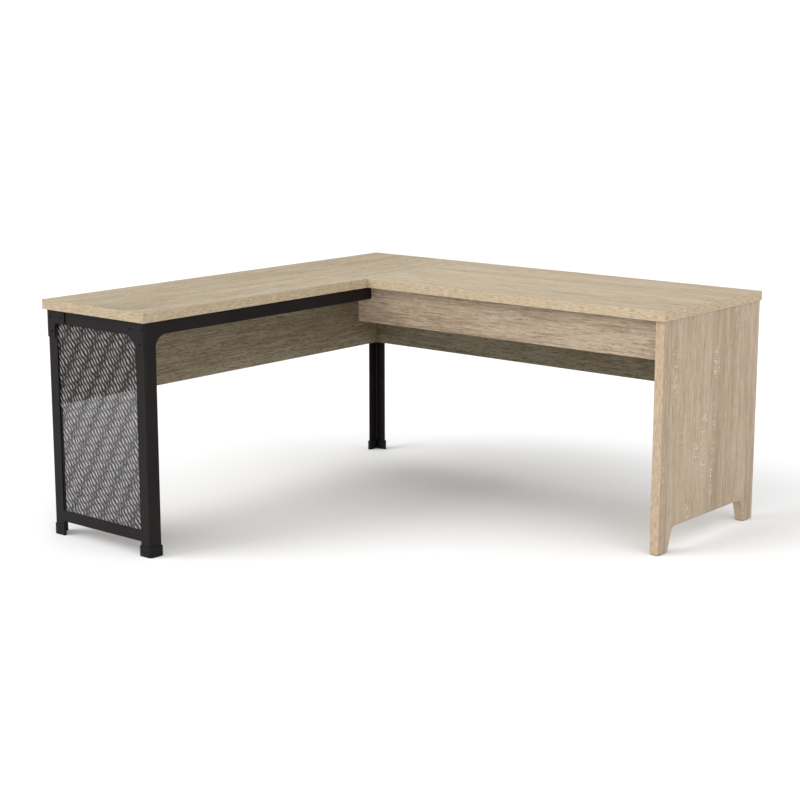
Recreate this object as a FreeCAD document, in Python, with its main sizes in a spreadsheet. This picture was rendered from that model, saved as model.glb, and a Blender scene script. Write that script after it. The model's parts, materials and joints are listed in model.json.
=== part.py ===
import FreeCAD, Part

import math
import os
import re

import Sketcher

# A corner desk: an L of two boards on a steel return frame, two hanging panels, an apron and one
# arched panel leg. Places are written in desk coordinates, in millimetres: X runs to the right
# from the outer edge of the return, Y runs back from the front edge of the return, Z runs up
# from the floor. Placing a sub-part moves its X and Y so that the origin of the document is on
# the floor under the middle of the desk.

SIZES = {
    # the L-shaped top
    "desk_width": 1600,
    "desk_depth": 1570,
    "desk_height": 740,
    "top_thickness": 30,
    "return_width": 455,
    "main_depth": 580,
    "board_edge_radius": 0.8,
    # angle steel of the return frame
    "side_inset": 8,
    "end_inset": 12,
    "leg_width": 42,
    "rail_width": 41,
    "steel_wall": 3,
    "leg_radius": 8,
    "rail_radius": 3.6,
    "lower_rail_level": 44,
    "lower_rail_width": 36,
    "back_rail_length": 360,
    # formed brackets round the tops of the legs
    "bracket_reach": 85,
    "bracket_arm": 40,
    "bracket_wall": 3,
    "tight_curve": 10,
    "near_bolt_reach": 14,
    "far_bolt_reach": 63,
    "low_bolt_reach": 22,
    "bolt_drop": 22,
    "low_bolt_drop": 65,
    # expanded metal infill, as the plate that it fills, and the strips that clamp its edges
    "mesh_thickness": 1.5,
    "mesh_lap": 10,
    "strip_thickness": 2,
    "outer_strip_width": 18,
    # moulded boots and nail-on glides
    "boot_wall": 3,
    "boot_height": 34,
    "boot_floor": 4,
    "boot_radius": 1.5,
    "glide_diameter": 22,
    "glide_thickness": 3,
    "nail_diameter": 3,
    "nail_length": 16,
    # hanging panels and apron
    "panel_thickness": 12,
    "panel_bottom": 408,
    "panel_front": 42,
    "apron_thickness": 16,
    "apron_setback": 31,
    "apron_bottom": 589,
    "apron_left": 390,
    # panel leg at the right end
    "end_thickness": 30,
    "end_side_inset": 4,
    "end_front_inset": 7,
    "end_back_inset": 5,
    "foot_width": 53,
    "foot_shoulder": 76,
    "arch_height": 76,
    "arch_radius": 18,
    # batten under the seam between the two boards
    "batten_width": 80,
    "batten_thickness": 18,
    "batten_screw_inset": 20,
    "batten_screw_start": 60,
    "batten_screw_pitch": 128,
    # small angle cleats
    "cleat_reach": 28,
    "cleat_width": 22,
    "cleat_wall": 2,
    "cleat_hole_reach": 17,
    "cleat_hole": 4,
    # fasteners
    "bolt_diameter": 6,
    "bolt_length": 13,
    "bolt_head_diameter": 11,
    "bolt_head_height": 3.2,
    "socket_width": 4,
    "socket_depth": 1.9,
    "nut_width": 10,
    "nut_height": 5,
    "screw_diameter": 4,
    "screw_head_diameter": 8,
    "screw_head_height": 2.6,
    "slot_width": 1.2,
    "rail_screw_length": 22,
    "rail_screw_setback": 24,
    "batten_screw_length": 36,
    "cleat_screw_length": 11,
    "cam_diameter": 15,
    "cam_depth": 12.5,
    "cam_reach": 24,
    "cam_bolt_diameter": 6,
    "cam_bolt_bite": 11,
    "cam_margin": 22,
    "dowel_diameter": 8,
    "dowel_length": 30,
}

doc = FreeCAD.newDocument("corner_desk")
sheet = doc.addObject("Spreadsheet::Sheet", "Sizes")
for row, (alias, size) in enumerate(SIZES.items(), start=1):
    sheet.set(f"A{row}", alias)
    sheet.set(f"B{row}", str(size))
    sheet.setAlias(f"B{row}", alias)
doc.recompute()

NODES = []

# Levels and places that several sub-parts share, as formulas in the sheet's names.
UNDERSIDE = "(desk_height - top_thickness)"
MAIN_FRONT = "(desk_depth - main_depth)"
LEFT_STEEL = "side_inset"
INNER_STEEL = "(return_width - side_inset)"
FRONT_STEEL = "end_inset"
BACK_STEEL = "(desk_depth - end_inset)"
APRON_FRONT = f"({MAIN_FRONT} + apron_setback)"
APRON_BACK = f"({APRON_FRONT} + apron_thickness)"
PANEL_TOP = f"({UNDERSIDE} - steel_wall)"
BACK_PANEL_BACK = f"({BACK_STEEL} - steel_wall)"
BACK_PANEL_FRONT = f"({BACK_PANEL_BACK} - panel_thickness)"
SIDE_PANEL_LEFT = f"({LEFT_STEEL} + steel_wall)"
END_INNER = "(desk_width - end_side_inset - end_thickness)"
END_FRONT = f"({MAIN_FRONT} + end_front_inset)"
END_DEPTH = "(main_depth - end_front_inset - end_back_inset)"
RAIL_FRONT = f"({FRONT_STEEL} + leg_width)"
RAIL_BACK = f"({BACK_STEEL} - leg_width)"
BOLT_LEVEL = f"({UNDERSIDE} - bolt_drop)"
LOW_BOLT_LEVEL = f"({UNDERSIDE} - low_bolt_drop)"
SEAM = "return_width"
SEAM_BATTEN_LEFT = f"({SEAM} - batten_width / 2)"
SEAM_BATTEN_LENGTH = f"({BACK_PANEL_FRONT} - {APRON_BACK})"

# Where the cleats, the screws and the other fixings sit.
CAM_LEVELS = ["(apron_bottom + cam_margin)", f"({UNDERSIDE} - cam_margin)"]
DOWEL_LEVEL = f"((apron_bottom + {UNDERSIDE}) / 2)"
LOWER_PANEL_SCREW = "(panel_bottom + 32)"
MIDDLE_PANEL_SCREW = "(panel_bottom + 130)"
APRON_CLEATS = ["600", "1000", "1400"]
BACK_PANEL_CLEATS = ["600", "1000", "1400"]
END_PANEL_CLEATS = ["1150", "1410"]
PANEL_END_CLEATS = ["450", "650"]
END_RAIL_SCREWS = ["100", "255"]
INNER_RAIL_SCREWS = ["96", "346", "596", "846"]
OUTER_RAIL_SCREWS = ["66", "391", "716", "1041", "1366"]
BACK_RAIL_SCREWS = ["80", "260"]
OUTER_RAIL_PANEL_SCREWS = ["376", "731", "1086"]
BACK_RAIL_PANEL_SCREWS = ["60", "200"]
TOP_DOWELS = ["700", "1200"]


# ---------------------------------------------------------------- formulas and shared steps


def expression(formula):
    """The formula with every name spelled as a cell of the sheet."""
    return re.sub(r"[a-z_]{2,}", lambda name: f"Sizes.{name.group()}", str(formula))


def amount(formula):
    """What the formula comes to, as a number."""
    return float(sheet.evalExpression(expression(formula)))


def bind(thing, setting, formula):
    thing.setExpression(setting, expression(formula))


def across_desk(formula):
    """A desk X, from the document's origin."""
    return f"{formula} - desk_width / 2"


def along_desk(formula):
    """A desk Y, from the document's origin."""
    return f"{formula} - desk_depth / 2"


def put(thing, x, y, z, turn=0):
    """Places a sub-part at desk coordinates, turned about Z by a number of degrees."""
    thing.Placement = FreeCAD.Placement(FreeCAD.Vector(), FreeCAD.Rotation(turn, 0, 0))
    bind(thing, "Placement.Base.x", across_desk(x))
    bind(thing, "Placement.Base.y", along_desk(y))
    bind(thing, "Placement.Base.z", z)


def new_body(label, x, y, z, turn=0):
    body = doc.addObject("PartDesign::Body", label)
    put(body, x, y, z, turn)
    NODES.append(body)
    return body


def new_sketch(body, role, offset="0"):
    """A sketch on one of the body's own origin planes, or at an offset along its normal."""
    sketch = body.newObject("Sketcher::SketchObject", "Sketch")
    plane = next(item for item in body.Origin.OriginFeatures if item.Role == role)
    sketch.AttachmentSupport = (plane, [""])
    sketch.MapMode = "FlatFace"
    bind(sketch, "AttachmentOffset.Base.z", offset)
    return sketch


def hold(sketch, element, point, across, up=None):
    """Ties a point of the sketch to its distances from the sketch's origin."""
    for kind, axis, formula in (("DistanceX", -2, across), ("DistanceY", -1, up)):
        if formula is None:
            continue
        if amount(formula) == 0:
            sketch.addConstraint(Sketcher.Constraint("PointOnObject", element, point, axis))
            continue
        rule = Sketcher.Constraint(kind, -1, 1, element, point, amount(formula))
        index = sketch.addConstraint(rule)
        bind(sketch, f"Constraints[{index}]", formula)


def draw_outline(sketch, corners, arcs=None):
    """A closed outline through the corners. Its stretches are straight, apart from those in
    arcs, which gives the centre of the arc that starts at a corner, by the corner's number."""
    arcs = arcs or {}
    spots = [FreeCAD.Vector(amount(across), amount(up), 0) for across, up in corners]
    ends = []
    for index, (start, end) in enumerate(zip(spots, spots[1:] + spots[:1])):
        if index not in arcs:
            sketch.addGeometry(Part.LineSegment(start, end))
            ends.append((1, 2))
            continue
        centre = FreeCAD.Vector(*(amount(part) for part in arcs[index]), 0)
        circle = Part.Circle(centre, FreeCAD.Vector(0, 0, 1), start.distanceToPoint(centre))
        first, last = [math.atan2(spot.y - centre.y, spot.x - centre.x) for spot in (start, end)]
        clockwise = (last - first) % math.tau > math.pi
        turn = (last, first) if clockwise else (first, last)
        sketch.addGeometry(Part.ArcOfCircle(circle, *turn))
        ends.append((2, 1) if clockwise else (1, 2))
    for index, (across, up) in enumerate(corners):
        following = (index + 1) % len(corners)
        joint = (index, ends[index][1], following, ends[following][0])
        sketch.addConstraint(Sketcher.Constraint("Coincident", *joint))
        hold(sketch, index, ends[index][0], across, up)
    for index, (across, _) in arcs.items():
        hold(sketch, index, 3, across)


def draw_angle(sketch, width, radius, mirror=""):
    """The section of an equal angle in steel of one thickness, bent to an outer radius. Its
    outer faces are the sketch's own axes. A mirror of "-" turns its second flange down."""
    wall = "steel_wall"
    centre = (radius, f"{mirror}{radius}")
    corners = [
        (radius, "0"), (width, "0"), (width, f"{mirror}{wall}"), (radius, f"{mirror}{wall}"),
        (wall, f"{mirror}{radius}"), (wall, f"{mirror}{width}"), ("0", f"{mirror}{width}"),
        ("0", f"{mirror}{radius}"),
    ]
    draw_outline(sketch, corners, {3: centre, 7: centre})


def draw_circles(sketch, centres, diameter):
    for across, up in centres:
        spot = FreeCAD.Vector(amount(across), amount(up), 0)
        circle = Part.Circle(spot, FreeCAD.Vector(0, 0, 1), amount(diameter) / 2)
        element = sketch.addGeometry(circle)
        hold(sketch, element, 3, across, up)
        rule = Sketcher.Constraint("Diameter", element, amount(diameter))
        index = sketch.addConstraint(rule)
        bind(sketch, f"Constraints[{index}]", diameter)


def pad(body, sketch, length, reverse=False):
    feature = body.newObject("PartDesign::Pad", "Pad")
    feature.Profile = sketch
    feature.Reversed = reverse
    bind(feature, "Length", length)
    body.Tip = feature
    doc.recompute()
    return feature


def pocket(body, sketch, depth, along_normal):
    """Cuts the sketch into the body, and stops if that takes nothing away."""
    before = body.Shape.Volume
    feature = body.newObject("PartDesign::Pocket", "Pocket")
    feature.Profile = sketch
    feature.Reversed = along_normal
    bind(feature, "Length", depth)
    body.Tip = feature
    doc.recompute()
    if body.Shape.Volume > before - 1:
        raise RuntimeError(f"a pocket in {body.Label} cuts nothing")


def drill(body, role, offset, centres, diameter, depth, along_normal):
    """Round holes of one size, from a plane of the body into its material."""
    sketch = new_sketch(body, role, offset)
    draw_circles(sketch, centres, diameter)
    pocket(body, sketch, depth, along_normal)


def round_edges(body, radius, chosen):
    """Rounds the edges of the body for which chosen(edge) is true."""
    base = body.Tip
    names = [f"Edge{i}" for i, edge in enumerate(base.Shape.Edges, start=1) if chosen(edge)]
    feature = body.newObject("PartDesign::Fillet", "Fillet")
    feature.Base = (base, names)
    bind(feature, "Radius", radius)
    body.Tip = feature
    doc.recompute()


def passes_through(edge, **place):
    """True for a straight edge along which the named coordinates keep the given values."""
    ends = [vertex.Point for vertex in edge.Vertexes]
    return all(abs(getattr(end, axis) - at) < 0.01 for end in ends for axis, at in place.items())


# ---------------------------------------------------------------- boards and panels


def board(label, place, role, width, height, thickness):
    """A flat board with slightly rounded edges. Its sketch is width by height on the plane of
    that role, and its thickness goes up, back or to the right from there."""
    body = new_body(label, *place)
    sketch = new_sketch(body, role)
    draw_outline(sketch, [("0", "0"), (width, "0"), (width, height), ("0", height)])
    pad(body, sketch, thickness, reverse=role == "XZ_Plane")
    round_edges(body, "board_edge_radius", lambda edge: True)
    return body


def return_top():
    """Long board of the return, with pilot holes for the rail and batten screws."""
    body = board("return_top", ("0", "0", UNDERSIDE), "XY_Plane",
                 "return_width", "desk_depth", "top_thickness")
    inner = f"{INNER_STEEL} - rail_screw_setback"
    outer = f"{LEFT_STEEL} + rail_screw_setback"
    front = f"{FRONT_STEEL} + rail_screw_setback"
    back = f"{BACK_STEEL} - rail_screw_setback"
    screws = [(f"{LEFT_STEEL} + leg_width + {run}", front) for run in END_RAIL_SCREWS]
    screws += [(inner, f"{RAIL_FRONT} + {run}") for run in INNER_RAIL_SCREWS]
    screws += [(outer, f"{RAIL_BACK} - {run}") for run in OUTER_RAIL_SCREWS]
    screws += [(f"{LEFT_STEEL} + leg_width + back_rail_length - {run}", back)
               for run in BACK_RAIL_SCREWS]
    drill(body, "XY_Plane", "0", screws, "screw_diameter", "rail_screw_length - steel_wall", True)
    batten = [(f"{SEAM} - batten_screw_inset", y) for y in batten_screw_rows()]
    drill(body, "XY_Plane", "0", batten, "screw_diameter",
          "batten_screw_length - batten_thickness", True)


def main_top():
    """Board of the main worktop, which butts against the inner edge of the return board."""
    body = board("main_top", (SEAM, MAIN_FRONT, UNDERSIDE), "XY_Plane",
                 f"desk_width - {SEAM}", "main_depth", "top_thickness")
    batten = [("batten_screw_inset", f"{y} - {MAIN_FRONT}") for y in batten_screw_rows()]
    drill(body, "XY_Plane", "0", batten, "screw_diameter",
          "batten_screw_length - batten_thickness", True)
    cleats = [(f"{x} - {SEAM}", f"{APRON_BACK} + cleat_hole_reach - {MAIN_FRONT}")
              for x in APRON_CLEATS]
    cleats += [(f"{x} - {SEAM}", f"{BACK_PANEL_FRONT} - cleat_hole_reach - {MAIN_FRONT}")
               for x in BACK_PANEL_CLEATS]
    cleats += [(f"{END_INNER} - cleat_hole_reach - {SEAM}", f"{y} - {MAIN_FRONT}")
               for y in END_PANEL_CLEATS]
    drill(body, "XY_Plane", "0", cleats, "screw_diameter", "cleat_screw_length - cleat_wall", True)
    dowels = [(f"{x} - {SEAM}", "apron_setback + apron_thickness / 2") for x in TOP_DOWELS]
    drill(body, "XY_Plane", "0", dowels, "dowel_diameter", "dowel_length / 2", True)


def batten_screw_rows():
    """Desk Y of each pair of batten screws."""
    first = f"{APRON_BACK} + batten_screw_start"
    return [f"{first} + {count} * batten_screw_pitch" for count in range(4)]


def seam_batten():
    """Flat batten that carries the edges of both top boards along their seam."""
    body = board("seam_batten", (SEAM_BATTEN_LEFT, APRON_BACK, f"{UNDERSIDE} - batten_thickness"),
                 "XY_Plane", "batten_width", SEAM_BATTEN_LENGTH, "batten_thickness")
    sides = ("batten_width / 2 - batten_screw_inset", "batten_width / 2 + batten_screw_inset")
    holes = [(x, f"{y} - {APRON_BACK}") for x in sides for y in batten_screw_rows()]
    drill(body, "XY_Plane", "0", holes, "screw_diameter", "batten_thickness", True)
    ends = ("cleat_hole_reach", f"{SEAM_BATTEN_LENGTH} - cleat_hole_reach")
    drill(body, "XY_Plane", "0", [("batten_width / 2", y) for y in ends],
          "screw_diameter", "cleat_screw_length - cleat_wall", True)


def apron():
    """Board under the front edge of the main top, hung from it and from the panel leg."""
    length = f"({END_INNER} - apron_left)"
    height = f"({UNDERSIDE} - apron_bottom)"
    body = board("apron", ("apron_left", APRON_FRONT, "apron_bottom"), "XZ_Plane",
                 length, height, "apron_thickness")
    cleats = [(f"{x} - apron_left", f"{height} - cleat_hole_reach") for x in APRON_CLEATS]
    cleats += [(f"{SEAM} - apron_left", f"{height} - batten_thickness - cleat_hole_reach")]
    drill(body, "XZ_Plane", "-apron_thickness", cleats, "screw_diameter",
          "cleat_screw_length - cleat_wall", True)
    rail = [(f"{INNER_STEEL} - steel_wall - cleat_hole_reach - apron_left",
             f"{height} - rail_width / 2")]
    drill(body, "XZ_Plane", "0", rail, "screw_diameter", "cleat_screw_length - cleat_wall", False)
    cams = [(f"{length} - cam_reach", f"{level} - apron_bottom") for level in CAM_LEVELS]
    drill(body, "XZ_Plane", "-apron_thickness", cams, "cam_diameter", "cam_depth", True)
    bores = [("apron_thickness / 2", f"{level} - apron_bottom") for level in CAM_LEVELS]
    drill(body, "YZ_Plane", length, bores, "cam_bolt_diameter", "cam_reach", False)
    dowel = [("apron_thickness / 2", f"{DOWEL_LEVEL} - apron_bottom")]
    drill(body, "YZ_Plane", length, dowel, "dowel_diameter", "dowel_length / 2", False)
    top_dowels = [(f"{x} - apron_left", "apron_thickness / 2") for x in TOP_DOWELS]
    drill(body, "XY_Plane", height, top_dowels, "dowel_diameter", "dowel_length / 2", False)


def main_modesty_panel():
    """Panel that hangs along the back of the main top. It starts clear of the bend of the
    corner leg."""
    left = f"({LEFT_STEEL} + leg_radius)"
    body = board("main_modesty_panel", (left, BACK_PANEL_FRONT, "panel_bottom"), "XZ_Plane",
                 f"{END_INNER} - {left}", f"{PANEL_TOP} - panel_bottom", "panel_thickness")
    top = f"{UNDERSIDE} - cleat_hole_reach - panel_bottom"
    inside = [(f"{x} - {left}", top) for x in BACK_PANEL_CLEATS]
    inside += [(f"{SEAM} - {left}", f"{top} - batten_thickness")]
    inside += [(f"{END_INNER} - cleat_hole_reach - {left}", f"{level} - panel_bottom")
               for level in PANEL_END_CLEATS]
    drill(body, "XZ_Plane", "0", inside, "screw_diameter", "cleat_screw_length - cleat_wall", False)
    outside = [(f"{x} - {left}", f"{z} - panel_bottom") for x, z in back_screws()]
    drill(body, "XZ_Plane", "-panel_thickness", outside, "bolt_diameter", PANEL_BITE, True)


def return_modesty_panel():
    """Panel that hangs along the outer side of the return."""
    body = board("return_modesty_panel", (SIDE_PANEL_LEFT, "panel_front", "panel_bottom"),
                 "YZ_Plane", f"{BACK_PANEL_FRONT} - panel_front",
                 f"{PANEL_TOP} - panel_bottom", "panel_thickness")
    outside = [(f"{y} - panel_front", f"{z} - panel_bottom") for y, z in side_screws()]
    drill(body, "YZ_Plane", "0", outside, "bolt_diameter", PANEL_BITE, True)


# Every panel screw bites this far, whether or not a bracket lies under its head.
PANEL_BITE = "(bolt_length - steel_wall - 2)"


def back_screws():
    """Desk X and Z of the screws that hold the back panel to the corner leg and back rail."""
    leg = f"{LEFT_STEEL} + low_bolt_reach"
    rail_end = f"{LEFT_STEEL} + leg_width + back_rail_length"
    screws = [(leg, LOW_BOLT_LEVEL), (leg, LOWER_PANEL_SCREW), (leg, MIDDLE_PANEL_SCREW)]
    screws += [(f"{LEFT_STEEL} + far_bolt_reach", BOLT_LEVEL)]
    screws += [(f"{rail_end} - {run}", BOLT_LEVEL) for run in BACK_RAIL_PANEL_SCREWS]
    return screws


def side_screws():
    """Desk Y and Z of the screws that hold the side panel to the legs and the outer rail."""
    rear = f"{FRONT_STEEL} + leg_width - 6"
    corner = f"{BACK_STEEL} - low_bolt_reach"
    screws = [(rear, LOWER_PANEL_SCREW), (rear, MIDDLE_PANEL_SCREW)]
    screws += [(f"{FRONT_STEEL} + far_bolt_reach", BOLT_LEVEL)]
    screws += [(corner, LOWER_PANEL_SCREW), (corner, MIDDLE_PANEL_SCREW), (corner, LOW_BOLT_LEVEL)]
    screws += [(f"{BACK_STEEL} - far_bolt_reach", BOLT_LEVEL)]
    screws += [(f"{RAIL_BACK} - {run}", BOLT_LEVEL) for run in OUTER_RAIL_PANEL_SCREWS]
    return screws


def end_panel():
    """Panel leg at the right end: two splayed feet with a low arch between them."""
    body = new_body("end_panel", END_INNER, END_FRONT, "glide_thickness")
    sketch = new_sketch(body, "YZ_Plane")
    height = f"({UNDERSIDE} - glide_thickness)"
    arch = "(arch_height - glide_thickness)"
    draw_outline(sketch, [
        ("0", "0"), ("foot_width", "0"), ("foot_shoulder", arch),
        (f"{END_DEPTH} - foot_shoulder", arch), (f"{END_DEPTH} - foot_width", "0"),
        (END_DEPTH, "0"), (END_DEPTH, height), ("0", height),
    ])
    pad(body, sketch, "end_thickness")
    round_edges(body, "arch_radius", lambda edge: passes_through(edge, z=amount(arch))
                and edge.Length < amount("end_thickness") + 1)
    faces = (0, amount("end_thickness"))
    round_edges(body, "board_edge_radius",
                lambda edge: any(passes_through(edge, x=face) for face in faces))
    cleats = [(f"{y} - {END_FRONT}", f"{height} - cleat_hole_reach") for y in END_PANEL_CLEATS]
    cleats += [(f"{BACK_PANEL_FRONT} - cleat_hole_reach - {END_FRONT}",
                f"{level} - glide_thickness") for level in PANEL_END_CLEATS]
    drill(body, "YZ_Plane", "0", cleats, "screw_diameter", "cleat_screw_length - cleat_wall", True)
    middle = f"{APRON_FRONT} + apron_thickness / 2 - {END_FRONT}"
    bolts = [(middle, f"{level} - glide_thickness") for level in CAM_LEVELS]
    drill(body, "YZ_Plane", "0", bolts, "cam_bolt_diameter", "cam_bolt_bite", True)
    drill(body, "YZ_Plane", "0", [(middle, f"{DOWEL_LEVEL} - glide_thickness")],
          "dowel_diameter", "dowel_length / 2", True)
    nails = [("end_thickness / 2", y) for y in
             ("foot_width / 2", f"{END_DEPTH} - foot_width / 2")]
    drill(body, "XY_Plane", "0", nails, "nail_diameter", "nail_length", True)


# ---------------------------------------------------------------- steel frame


def leg(label, x, y, turn, front_holes, side_holes):
    """Equal angle leg that stands in its boot. Its outer corner is the sub-part's own axis,
    and its two flanges run along its own X and Y. Holes are (reach, level) in each flange."""
    body = new_body(label, x, y, "boot_floor", turn)
    sketch = new_sketch(body, "XY_Plane")
    draw_angle(sketch, "leg_width", "leg_radius")
    pad(body, sketch, f"{UNDERSIDE} - boot_floor")
    if front_holes:
        holes = [(reach, f"{level} - boot_floor") for reach, level in front_holes]
        drill(body, "XZ_Plane", "0", holes, "bolt_diameter", "steel_wall", False)
    if side_holes:
        holes = [(reach, f"{level} - boot_floor") for reach, level in side_holes]
        drill(body, "YZ_Plane", "0", holes, "bolt_diameter", "steel_wall", True)


def legs():
    """The three angle legs: front (inner side), rear (outer side) and back corner."""
    near = ("near_bolt_reach", BOLT_LEVEL)
    low = ("low_bolt_reach", LOW_BOLT_LEVEL)
    panel_screws = [("leg_width - 6", LOWER_PANEL_SCREW), ("leg_width - 6", MIDDLE_PANEL_SCREW)]
    corner_screws = [("low_bolt_reach", level)
                     for level in (LOW_BOLT_LEVEL, LOWER_PANEL_SCREW, MIDDLE_PANEL_SCREW)]
    leg("front_post", INNER_STEEL, FRONT_STEEL, 90, [near, low], [near, low])
    leg("rear_post", LEFT_STEEL, FRONT_STEEL, 0, [near, low], [near, low] + panel_screws)
    leg("corner_leg", LEFT_STEEL, BACK_STEEL, -90, corner_screws, corner_screws)


def rail(label, x, y, turn, length, bolt_runs, screw_runs):
    """Angle rail under the return board: its outer face is the plane of its own X and Z, with
    the lying flange at the top."""
    body = new_body(label, x, y, UNDERSIDE, turn)
    sketch = new_sketch(body, "YZ_Plane")
    draw_angle(sketch, "rail_width", "rail_radius", mirror="-")
    pad(body, sketch, length)
    if bolt_runs:
        bolts = [(run, "-bolt_drop") for run in bolt_runs]
        drill(body, "XZ_Plane", "0", bolts, "bolt_diameter", "steel_wall", False)
    screws = [(run, "rail_screw_setback") for run in screw_runs]
    drill(body, "XY_Plane", "0", screws, "screw_diameter", "steel_wall", False)


def upper_rails():
    """The four rails that carry the return board, each butted between two legs."""
    between_posts = f"{INNER_STEEL} - {LEFT_STEEL} - 2 * leg_width"
    side_length = f"({RAIL_BACK} - {RAIL_FRONT})"
    past_leg = "(far_bolt_reach - leg_width)"
    rail("end_top_rail", f"{LEFT_STEEL} + leg_width", FRONT_STEEL, 0, between_posts,
         [past_leg, f"{between_posts} - {past_leg}"], END_RAIL_SCREWS)
    rail("inner_side_rail", INNER_STEEL, RAIL_FRONT, 90, f"{APRON_FRONT} - {RAIL_FRONT}",
         [past_leg], INNER_RAIL_SCREWS)
    rail("outer_side_rail", LEFT_STEEL, RAIL_BACK, -90, side_length,
         [past_leg, f"{side_length} - {past_leg}"] + OUTER_RAIL_PANEL_SCREWS, OUTER_RAIL_SCREWS)
    rail("back_rail", f"{LEFT_STEEL} + leg_width + back_rail_length", BACK_STEEL, 180,
         "back_rail_length", [f"back_rail_length - {past_leg}"] + BACK_RAIL_PANEL_SCREWS,
         BACK_RAIL_SCREWS)


def end_bottom_rail():
    """Angle rail welded between the two posts near the floor, with its flange at the bottom."""
    body = new_body("end_bottom_rail", f"{LEFT_STEEL} + leg_width", FRONT_STEEL,
                    "lower_rail_level")
    sketch = new_sketch(body, "YZ_Plane")
    draw_angle(sketch, "lower_rail_width", "rail_radius")
    pad(body, sketch, f"{INNER_STEEL} - {LEFT_STEEL} - 2 * leg_width")


def bracket(label, x, y, turn, curve, points):
    """Formed bracket that wraps the outer corner of a leg: one L-shaped plate on each face, whose
    inner corner is a quarter circle of radius curve. Points are the (reach, drop) of its holes."""
    body = new_body(label, x, y, UNDERSIDE, turn)
    end = "(bracket_reach - bracket_wall)"
    inner = "(bracket_arm - bracket_wall)"
    curve_centre = (f"{inner} + {curve}", f"-bracket_arm - {curve}")
    corners = [("-bracket_wall", "0"), (end, "0"), (end, "-bracket_arm")]
    straight_arms = curve != WIDE_CURVE
    if straight_arms:
        corners.append((f"{inner} + {curve}", "-bracket_arm"))
    curve_start = len(corners) - 1
    corners.append((inner, f"-bracket_arm - {curve}"))
    if straight_arms:
        corners.append((inner, "-bracket_reach"))
    corners.append(("-bracket_wall", "-bracket_reach"))
    for role, reverse in (("XZ_Plane", False), ("YZ_Plane", True)):
        sketch = new_sketch(body, role)
        draw_outline(sketch, corners, {curve_start: curve_centre})
        pad(body, sketch, "bracket_wall", reverse)
    wall = amount("bracket_wall")
    round_edges(body, "leg_radius", lambda edge: passes_through(edge, x=0, y=0))
    round_edges(body, "leg_radius + bracket_wall",
                lambda edge: passes_through(edge, x=-wall, y=-wall))
    for role, along_normal in (("XZ_Plane", False), ("YZ_Plane", True)):
        offset = "bracket_wall" if role == "XZ_Plane" else "-bracket_wall"
        drill(body, role, offset, [(reach, f"-{drop}") for reach, drop in points],
              "bolt_diameter", "bracket_wall", along_normal)


WIDE_CURVE = "(bracket_reach - bracket_arm)"
NEAR = ("near_bolt_reach", "bolt_drop")
FAR = ("far_bolt_reach", "bolt_drop")
LOW = ("low_bolt_reach", "low_bolt_drop")


def brackets():
    """A bracket on each leg, with a tight inner corner on the rear leg. The one at the back
    corner has no holes nearest its bend, where the two hanging panels meet."""
    bracket("front_bracket", INNER_STEEL, FRONT_STEEL, 90, WIDE_CURVE, [NEAR, FAR, LOW])
    bracket("rear_bracket", LEFT_STEEL, FRONT_STEEL, 0, "tight_curve", [NEAR, FAR, LOW])
    bracket("corner_bracket", LEFT_STEEL, BACK_STEEL, -90, WIDE_CURVE, [FAR, LOW])


def boot(label, x, y, turn):
    """Moulded boot: an angle-shaped sock with a closed sole, in which the leg stands."""
    body = new_body(label, x, y, "0", turn)
    out = "-boot_wall"
    tip = "(leg_width + boot_wall)"
    back = "(steel_wall + boot_wall)"
    sketch = new_sketch(body, "XY_Plane")
    draw_outline(sketch, [(out, out), (tip, out), (tip, back), (back, back), (back, tip),
                          (out, tip)])
    pad(body, sketch, "boot_height")
    edge_of_corner = amount(out)
    round_edges(body, "leg_radius + boot_wall",
                lambda edge: passes_through(edge, x=edge_of_corner, y=edge_of_corner))
    round_edges(body, "boot_radius", lambda edge: passes_through(edge, z=amount("boot_height")))
    slot = new_sketch(body, "XY_Plane", "boot_height")
    draw_angle(slot, "leg_width", "leg_radius")
    pocket(body, slot, "boot_height - boot_floor", False)


def boots():
    boot("front_boot", INNER_STEEL, FRONT_STEEL, 90)
    boot("rear_boot", LEFT_STEEL, FRONT_STEEL, 0)
    boot("corner_boot", LEFT_STEEL, BACK_STEEL, -90)


def flat(label, x, y, z, width, depth, height):
    """A plain flat plate or strip."""
    box = doc.addObject("Part::Box", label)
    bind(box, "Length", width)
    bind(box, "Width", depth)
    bind(box, "Height", height)
    put(box, x, y, z)
    NODES.append(box)


def mesh_infill():
    """The expanded metal sheet, as the flat plate that its strands fill, and the four strips
    between it and the flanges of the end frame. The outer strip is wider than its lap and ends
    under the hanging panel."""
    left = f"({LEFT_STEEL} + leg_width - mesh_lap)"
    width = f"({INNER_STEEL} - {LEFT_STEEL} - 2 * leg_width + 2 * mesh_lap)"
    bottom = "(lower_rail_level + lower_rail_width - mesh_lap)"
    top = f"({UNDERSIDE} - rail_width + mesh_lap)"
    front = f"({FRONT_STEEL} + steel_wall)"
    behind = f"({front} + strip_thickness)"
    side_height = f"({top} - {bottom} - 2 * mesh_lap)"
    side_level = f"({bottom} + mesh_lap)"
    flat("mesh_panel", left, behind, bottom, width, "mesh_thickness", f"{top} - {bottom}")
    flat("mesh_strip_bottom", left, front, bottom, width, "strip_thickness", "mesh_lap")
    flat("mesh_strip_top", left, front, f"{top} - mesh_lap", width, "strip_thickness",
         "mesh_lap")
    flat("mesh_strip_outer", left, front, side_level, "outer_strip_width", "strip_thickness",
         f"panel_bottom - {side_level}")
    flat("mesh_strip_inner", f"{left} + {width} - mesh_lap", front, side_level, "mesh_lap",
         "strip_thickness", side_height)


# ---------------------------------------------------------------- fasteners and fittings

UP = (0, 0, 1)
BACK = (0, 1, 0)
FORWARD = (0, -1, 0)
RIGHT = (1, 0, 0)
LEFT = (-1, 0, 0)


def vector(*xyz):
    return FreeCAD.Vector(*xyz)


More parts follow.
